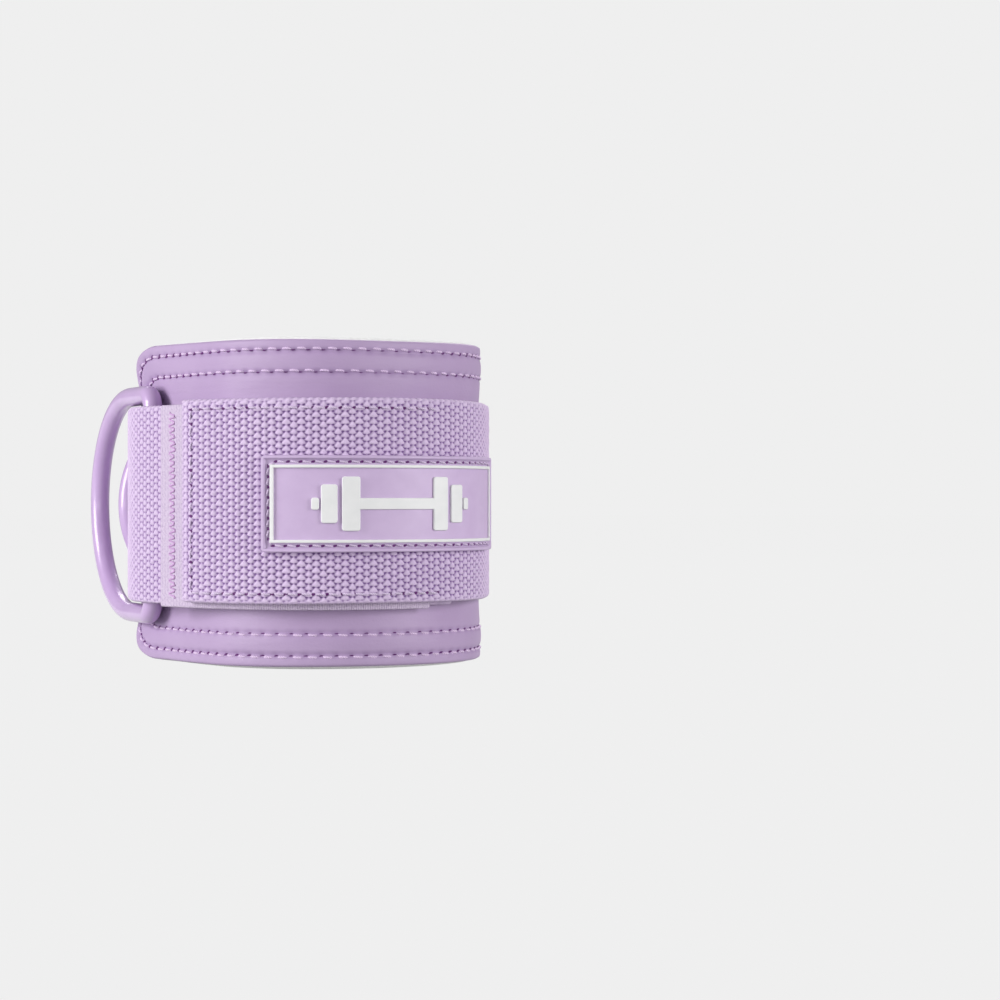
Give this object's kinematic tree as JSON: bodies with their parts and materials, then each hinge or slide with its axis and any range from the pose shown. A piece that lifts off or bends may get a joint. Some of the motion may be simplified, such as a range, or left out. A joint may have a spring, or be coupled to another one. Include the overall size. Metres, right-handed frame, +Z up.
{
  "type": "ankle cuff strap",
  "caption": "Padded ankle cuff with a webbing strap over two hinged D-rings, a hook-and-loop tail and a rubber label, for cable-machine leg exercises.",
  "frame": {"origin": "centre of the ankle opening, on the surface that the cuff stands on", "axes": "+Z up along the leg, -Y towards the label, -X towards the rings and the gap between the pad's ends"},
  "size_m": [0.1101, 0.0963, 0.0816],
  "materials": {
    "cover": "grained satin, lilac",
    "foam": "white closed-cell foam",
    "lining": "knitted mesh, pale pinkish lilac",
    "thread": "twisted polyester thread",
    "webbing": "coarse woven nylon, lilac",
    "tape": "hook-and-loop tape, pale lilac",
    "ring": "glossy lilac coating",
    "label": "moulded soft rubber, satin lilac",
    "label_white": "moulded soft rubber, satin white"
  },
  "bodies": {
    "cuff": {"outer_cover": "cover", "foam_core": "foam", "inner_lining": "lining", "edge_stitch_outer": "thread", "edge_stitch_inner": "thread", "strap_wrap": "webbing", "loop_tape": "tape", "anchor_stitch": "thread", "loop_tape_stitch": "thread"},
    "tail": {"strap_tail": "webbing", "hook_tape": "tape", "tail_stitch": "thread", "label_base": "label", "label_frame": "label_white", "label_emblem": "label_white", "label_stitch": "thread"},
    "ring_front": {"d_ring_front": "ring"},
    "ring_rear": {"d_ring_rear": "ring"}
  },
  "joints": [
    {"name": "tail_peel", "type": "hinge", "parent": "cuff", "child": "tail", "pos_m": [0.04813, -0.00167, 0.0413], "axis": [0, 0, 1], "range_deg": [0, 65]},
    {"name": "front_ring_swing", "type": "hinge", "parent": "cuff", "child": "ring_front", "pos_m": [-0.03787, -0.0184, 0.0403], "axis": [0, 0, 1], "range_deg": [0, 165]},
    {"name": "rear_ring_swing", "type": "hinge", "parent": "cuff", "child": "ring_rear", "pos_m": [-0.00696, 0.03504, 0.0403], "axis": [0, 0, 1], "range_deg": [-165, 0]}
  ],
  "couplings": [
    {"joint": "rear_ring_swing", "follows": "front_ring_swing", "ratio": -1}
  ]
}
